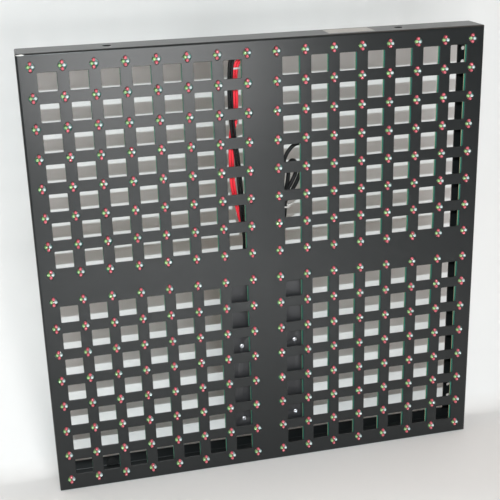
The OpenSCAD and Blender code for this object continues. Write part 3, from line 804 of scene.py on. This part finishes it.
# across, depth and height in millimetres: the pair of black wires, the pair of red wires, and the data lead
BLACK_RUN = [
    (-20, 23.2, 186), (-20, 23.2, 212), (-20, 23.2, 236), (-19, 22.5, 258), (-18.8, 20.5, 275), (-22, 16.5, 304),
    (-24.5, 13, 337), (-27.2, 11.2, 369), (-31, 10.5, 401), (-32.6, 10.3, 433), (-31.8, 10.2, 462), (-28.5, 10.8, 477),
    (-19, 11.5, 486), (-8, 11.5, 484.5), (-1.5, 10, 477), (0, 9, 470), (0, 9, 464),
]
RED_RUN = [
    (-20, 26.8, 186), (-20, 26.8, 212), (-20, 26.8, 236), (-18, 26.5, 258), (-17.6, 25, 275), (-24.5, 20.5, 304),
    (-31.5, 16.5, 337), (-32.7, 15, 369), (-31.5, 14.8, 394), (-27.5, 14.8, 411), (-26, 15, 433), (-26, 15.2, 456),
    (-23.5, 15.4, 469), (-16.5, 15.5, 476.5), (-8, 15.5, 477), (-2, 14, 472), (0, 13, 467), (0, 13, 463),
]
DATA_RUN = [
    (22, 25, 196), (22, 25, 198), (22, 25, 203), (26, 25, 211), (31.2, 25, 218), (32, 25, 225), (32, 25, 237),
    (30.5, 24.8, 245), (24.5, 24.8, 251), (15.5, 24.8, 256), (9.5, 24.8, 264), (7.5, 24.8, 276), (10.5, 24.8, 289),
    (17.5, 24.8, 298), (22.4, 24.8, 304), (22.4, 24.8, 311), (24, 24.8, 323), (26.2, 24.8, 336), (27.2, 24.8, 348),
    (28.8, 24.8, 359), (33, 24.8, 368), (40, 24.6, 375), (47.5, 24, 376), (52, 23, 370), (51.2, 21.8, 361.5),
    (48, 20.8, 353), (44.6, 20.2, 342.5), (41.2, 20.2, 334.5), (37, 20.2, 327), (32, 20.2, 318.5),
    (27.6, 20.2, 312), (27.2, 20.2, 303), (26.4, 20.2, 296), (24, 20.2, 290), (19.5, 20.2, 287), (14.8, 20.2, 290.5),
    (15.8, 20.2, 297.5), (22.4, 20.2, 304), (22.4, 20.2, 311), (26.8, 20.2, 319.5), (31.6, 20.2, 328),
    (36, 20.2, 336), (39.8, 20.2, 344), (41.5, 20.6, 351), (40.4, 21.4, 356.3), (37.4, 22.4, 358.6),
    (34.6, 23.4, 356), (33.4, 24.2, 350.5), (33.2, 24.8, 344), (32, 24.8, 334), (29.2, 24.8, 322.5),
    (27.2, 24.8, 311), (27.2, 24.8, 303), (26, 24.8, 294), (23.2, 24.8, 286), (22.5, 24.8, 279), (22.5, 24.8, 277.4),
    (22.5, 24.8, 276),
]
# each wire from its terminal up to the box's grommet: the share of the way across, and the height in millimetres
FOOT_STEPS = [(0, 1.5), (0, 9), (0.3, 15), (0.62, 23), (0.88, 34)]


class MATRIX_OT_leads(bpy.types.Operator):
    """Lays the power wires and the coiled data lead as smooth round tubes"""

    bl_idname = "matrix.leads"
    bl_label = "Leads"

    def execute(self, context):
        leads = context.scene.matrix_leads
        gap = leads.wire / MM / 2 + 0.05
        wires = (
            ("red_wire_1", RED_RUN, -1, 0, 13, "red_wire"), ("red_wire_2", RED_RUN, 1, 2, 13, "red_wire"),
            ("black_wire_1", BLACK_RUN, -1, 1, 9, "black_wire"), ("black_wire_2", BLACK_RUN, 1, 3, 9, "black_wire"),
        )
        for node, run, side, way, deep, look in wires:
            inside = beside(curved(run, 6), side * gap)
            foot = Vector((TERMINALS[0] + (way - 1.5) * TERMINAL_STEP, *TERMINALS[1:]))
            start = [
                Vector((foot[0] + q * (inside[0][0] - foot[0]), foot[1] + q * (inside[0][1] - foot[1]), foot[2] + h))
                for q, h in FOOT_STEPS
            ]
            start = curved(start + [inside[0], inside[1]], 4)[:-1]
            points = [placed(q) for q in start + inside[1:] + [Vector((-side * gap, deep, PLUG_Z))]]
            settle(tube(points, leads.wire, node), node + "_insulation", finish(look), [node])
        data = tube([placed(q) for q in curved(DATA_RUN, 6)], leads.data, "data_lead")
        settle(data, "data_lead_jacket", finish("black_wire"), ["data_lead"])
        return {"FINISHED"}


def screw_pattern(shank):
    """A pan-head screw with a cross recess: seat at the origin, head towards -Y."""
    deselect()
    radius, tall, quarter = 0.0028, 0.0022, (math.radians(90), 0, 0)
    bpy.ops.mesh.primitive_cylinder_add(
        vertices=24, radius=radius, depth=tall, location=(0, -tall / 2, 0), rotation=quarter
    )
    head = edged(applied(bpy.context.object), 0.0009, 4)
    long, deep, wide = 0.0034, 0.0016, 0.0007
    bars = [block(size, (0, -tall, 0)) for size in ((long, deep, wide), (wide, deep, long))]
    cross = joined(bars, "cross")
    cut = head.modifiers.new("Recess", "BOOLEAN")
    cut.operation = "DIFFERENCE"
    cut.object = cross
    cut.solver = "EXACT"
    cut.use_self = True
    shaped(head, cut)
    bpy.data.objects.remove(cross)
    deselect()
    bpy.ops.mesh.primitive_cylinder_add(
        vertices=16, radius=0.0015, depth=shank, location=(0, shank / 2, 0), rotation=quarter
    )
    return joined([head, applied(bpy.context.object)], "screw")


def spun(x, y, z, chance, turned=False):
    """A screw's place, turned by chance about its axis, and facing back if turned."""
    turn = Euler((0, chance.uniform(0, math.pi), 0)).to_matrix().to_4x4()
    if turned:
        turn = Matrix.Rotation(math.pi, 4, "Z") @ turn
    return Matrix.Translation((x, y, z)) @ turn


class MATRIX_OT_fixings(bpy.types.Operator):
    """Sets cross-head screws in the supply box, its cover and the hub board"""

    bl_idname = "matrix.fixings"
    bl_label = "Fixings"

    def execute(self, context):
        chance = random.Random(3)
        plates = [
            (x + a * w / 2, z + b * h / 2) for x, z, w, h in (SUPPLY, RECEIVER) for a in (-1, 1) for b in (-1, 1)
        ]
        spots = [spun(x * MM, depth(FRONT_SCREWS), z * MM, chance) for x, z in plates]
        front = copies(screw_pattern(0.0042), spots, "front")
        smooth(front, 35)
        settle(front, "box_front_screws_finished", finish("zinc"), ["box_front_screws"])
        rear = [(x * MM, depth(CARRIER_SCREWS), z * MM) for x, z in plates]
        rear += [(column(i), depth(HUB_SCREWS), row(HUB_ROW)) for i in HUB_COLUMNS]
        rear += [
            ((BOX_X + a * COVER_REACH) * MM, depth(COVER_SCREWS), z * MM)
            for a in (-1, 1) for z in (BOX_LOW + COVER_INSET, BOX_TOP - COVER_INSET)
        ]
        back = copies(screw_pattern(0.0036), [spun(*q, chance, True) for q in rear], "rear")
        smooth(back, 35)
        settle(back, "rear_screws_finished", finish("zinc"), ["rear_screws"])
        return {"FINISHED"}


def chip_pattern():
    """A driver chip on the back of a bar: its body, seat at the origin and back towards +Y."""
    deselect()
    body = edged(block((0.0053, 0.0018, 0.013), (0, 0.001, 0)), 0.00025, 2)
    dot = block((0.0008, 0.0001, 0.0008), (0.0017, 0.00191, 0.0055))
    return joined([body, dot], "chip")


def leg_pattern():
    """Two facing gull-wing legs of a driver chip."""
    deselect()
    parts = []
    for side in (-1, 1):
        parts.append(block((0.0004, 0.0008, 0.00032), (side * 0.0030, 0.0006, 0)))
        parts.append(block((0.0008, 0.00018, 0.00032), (side * 0.0035, 0.00012, 0)))
    return joined(parts, "legs")


class MATRIX_OT_bar_parts(bpy.types.Operator):
    """Puts the driver chips, their legs, the solder joints and the small resistors on the backs of the bars"""

    bl_idname = "matrix.bar_parts"
    bl_label = "Bar parts"

    def execute(self, context):
        p = context.scene.matrix_pixels
        back = depth(BAR_BACK)
        spots = [(column(i), row(j)) for i in range(COUNT) for j in CHIP_ROWS]
        chips = copies(chip_pattern(), [Matrix.Translation((x, back, z)) for x, z in spots], "chips")
        smooth(chips, 35)
        settle(chips, "driver_chip_bodies", finish("chip"), ["driver_chips"])
        step = 0.00105
        places = [Matrix.Translation((x, back, z + (k - 5.5) * step)) for x, z in spots for k in range(12)]
        settle(copies(leg_pattern(), places, "legs"), "driver_chip_legs", finish("solder"))

        deselect()
        tall = 0.0009
        bpy.ops.mesh.primitive_cone_add(
            vertices=6, radius1=0.00072, radius2=0.00022, depth=tall, end_fill_type="NOTHING",
            location=(0, tall / 2, 0), rotation=(math.radians(-90), 0, 0),
        )
        joint = applied(bpy.context.object)
        places = []
        for i in range(COUNT):
            for j in range(COUNT):
                for dx, dz in ((0, p.red_offset), (0, -p.red_offset), (p.green_offset, 0), (-p.green_offset, 0)):
                    for side in (-1, 1):
                        places.append(Matrix.Translation((column(i) + dx + side * step, back, row(j) + dz)))
        joints = copies(joint, places, "joints")
        smooth(joints, 60)
        settle(joints, "solder_joints", finish("solder"))

        beside_it = 0.0026
        spots = [
            Matrix.Translation((column(i) + k * beside_it, back + 0.0003, row(j)))
            for i in range(COUNT) for j in RESISTOR_ROWS for k in (-1, 0, 1)
        ]
        deselect()
        bodies = copies(block((0.0012, 0.0006, 0.0014), (0, 0, 0)), spots, "resistors")
        settle(bodies, "resistor_bodies", finish("chip"))
        ends = joined([block((0.00124, 0.00064, 0.0004), (0, 0, s * 0.0009)) for s in (-1, 1)], "ends")
        settle(copies(ends, spots, "resistor_ends"), "resistor_ends", finish("solder"))
        return {"FINISHED"}


class MATRIX_OT_small_parts(bpy.types.Operator):
    """Rounds the edges of the solid small parts, so that they catch the light"""

    bl_idname = "matrix.small_parts"
    bl_label = "Small parts"

    def execute(self, context):
        parts = (
            ("box_base", "box_paint", "box", 0.0004), ("box_cover", "box_paint", "box", 0.0003),
            ("power_plug", "white_nylon", "nylon", 0.0005), ("data_plug", "black_plastic", "black", 0.0006),
            ("cable_ties", "white_nylon", "nylon", 0.0002), ("hub_sockets", "black_plastic", "black", 0.0003),
            ("bar_headers", "pale_plastic", "pale", 0.0003), ("stud_nuts", "zinc", "zinc", 0.0002),
            ("ribbon_plugs", "black_plastic", "black", 0.0004), ("ribbon_headers", "header_grey", "header", 0.0003),
            ("terminal_block", "black_plastic", "black", 0.0003), ("transformer", "core", "core", 0.0004),
            ("heat_sink", "aluminium", "aluminium", 0.0002), ("capacitors", "can_sleeve", "sleeve", 0.0007),
            ("standoffs", "brass", "brass", 0.0003),
        )
        for node, slot, look, width in parts:
            settle(softened(node, width), node + "_finished", finish(look), [node])
        return {"FINISHED"}


class MATRIX_OT_stage(bpy.types.Operator):
    """Sets the light tent round the panel, the lamps in it and the camera"""

    bl_idname = "matrix.stage"
    bl_label = "Stage"

    def execute(self, context):
        stage = context.scene.matrix_stage
        # a closed tent: its back wall leans away from the panel, more at its foot, and its front leans with it
        wide, before = 6, 3
        deselect()
        bpy.ops.mesh.primitive_plane_add(size=1, location=(0, 0, 0))
        sweep = context.object
        sweep.dimensions = (wide, before + stage.start, 0)
        sweep.location = (0, (stage.start - before) / 2, 0)
        bpy.ops.object.transform_apply(location=True, rotation=True, scale=True)
        bpy.ops.object.mode_set(mode="EDIT")
        bpy.ops.mesh.select_all(action="SELECT")
        for step in ((0, 0.125, 0.25), (0, 0.023, 0.15), (0, 0, 2.2)):
            bpy.ops.mesh.extrude_region_move(TRANSFORM_OT_translate={"value": step})
        bpy.ops.object.mode_set(mode="OBJECT")
        bevel = sweep.modifiers.new("Sweep", "BEVEL")
        bevel.width = 0.02
        bevel.segments = 12
        smooth(shaped(sweep, bevel), 60)
        sweep.name = "stage_sweep"
        n = Nodes("stage_cloth")
        n.paint(n.mixed(n.noise(3.0, 2.0), "Fac", tint(stage.cloth, 0.98), tint(stage.cloth, 1.02)))
        n.shader.inputs["Roughness"].default_value = 0.9
        n.shader.inputs["Specular IOR Level"].default_value = 0.2
        n.inside_only()
        sweep.data.materials.append(n.material)

        world = bpy.data.worlds.new("studio")
        context.scene.world = world
        world.use_nodes = True
        background = world.node_tree.nodes["Background"]
        background.inputs["Color"].default_value = (1.0, 0.97, 0.95, 1)
        background.inputs["Strength"].default_value = stage.world

        deselect()
        bpy.ops.object.camera_add(
            location=(-0.2537, -1.0407, 0.651),
            rotation=(math.radians(69.905), math.radians(1.549), math.radians(-13.529)),
        )
        camera = context.object
        camera.name = "camera"
        camera.data.lens = 73.3
        camera.data.sensor_width = 36
        camera.data.clip_start = 0.02
        context.scene.camera = camera

        def lamp(name, place, aim, size, power, tone=(1, 1, 1), tall=None, spread=180):
            """A round lamp, or an oblong one if it is given a height, that shines at a point."""
            bpy.ops.object.light_add(type="AREA", location=place)
            light = bpy.context.object
            light.name = name
            light.data.shape = "RECTANGLE" if tall else "DISK"
            light.data.size = size
            if tall:
                light.data.size_y = tall
            light.data.spread = math.radians(spread)
            light.data.energy = power
            light.data.color = tone
            light.rotation_euler = (Vector(aim) - Vector(place)).to_track_quat("-Z", "Y").to_euler()

        over = Vector((0, 0, stage.lift))
        warm = (1.0, 0.74, 0.58)
        lamp("front_lamp", camera.location + over, (0, 0, 0.22), 0.008, stage.lamp, (0.90, 0.98, 1.0))
        lamp("glare_box", (0.015, -1.20, 0.33), (-0.02, 0, 0.38), 0.55, stage.glare, tall=0.36)
        lamp("floor_pool", (0, -0.62, 0.9), (0, -0.62, 0), 0.2, stage.pool, spread=55)
        lamp("softbox_left", (-0.6, 0.05, 1.6), (0, 0.15, 0.25), 0.8, stage.fill, warm)
        lamp("softbox_right", (0.8, 0.05, 1.5), (0.1, 0.15, 0.25), 0.8, stage.fill, warm)
        context.scene.view_settings.view_transform = "Standard"
        return {"FINISHED"}


STEPS = (
    MATRIX_OT_finishes, MATRIX_OT_stage, MATRIX_OT_tray, MATRIX_OT_pixels, MATRIX_OT_bar_parts, MATRIX_OT_fixings,
    MATRIX_OT_leads, MATRIX_OT_small_parts,
)


class MATRIX_PT_panel(bpy.types.Panel):
    """The panel's settings and steps"""

    bl_label = "Dot Matrix"
    bl_idname = "MATRIX_PT_panel"
    bl_space_type = "VIEW_3D"
    bl_region_type = "UI"
    bl_category = "Dot Matrix"

    def draw(self, context):
        for name, group in SETTINGS.items():
            box = self.layout.box()
            for key in group.__annotations__:
                box.prop(getattr(context.scene, name), key)
        for step in STEPS:
            self.layout.operator(step.bl_idname)


def register():
    for group in SETTINGS.values():
        bpy.utils.register_class(group)
    for name, group in SETTINGS.items():
        setattr(bpy.types.Scene, name, PointerProperty(type=group))
    for step in STEPS:
        bpy.utils.register_class(step)
    bpy.utils.register_class(MATRIX_PT_panel)


def unregister():
    bpy.utils.unregister_class(MATRIX_PT_panel)
    for step in reversed(STEPS):
        bpy.utils.unregister_class(step)
    for name, group in SETTINGS.items():
        delattr(bpy.types.Scene, name)
        bpy.utils.unregister_class(group)


def main():
    register()
    bpy.ops.matrix.finishes()
    bpy.ops.matrix.stage()
    bpy.ops.matrix.tray()
    bpy.ops.matrix.pixels()
    bpy.ops.matrix.bar_parts()
    bpy.ops.matrix.fixings()
    bpy.ops.matrix.leads()
    bpy.ops.matrix.small_parts()
    deselect()


if __name__ == "__main__":
    main()
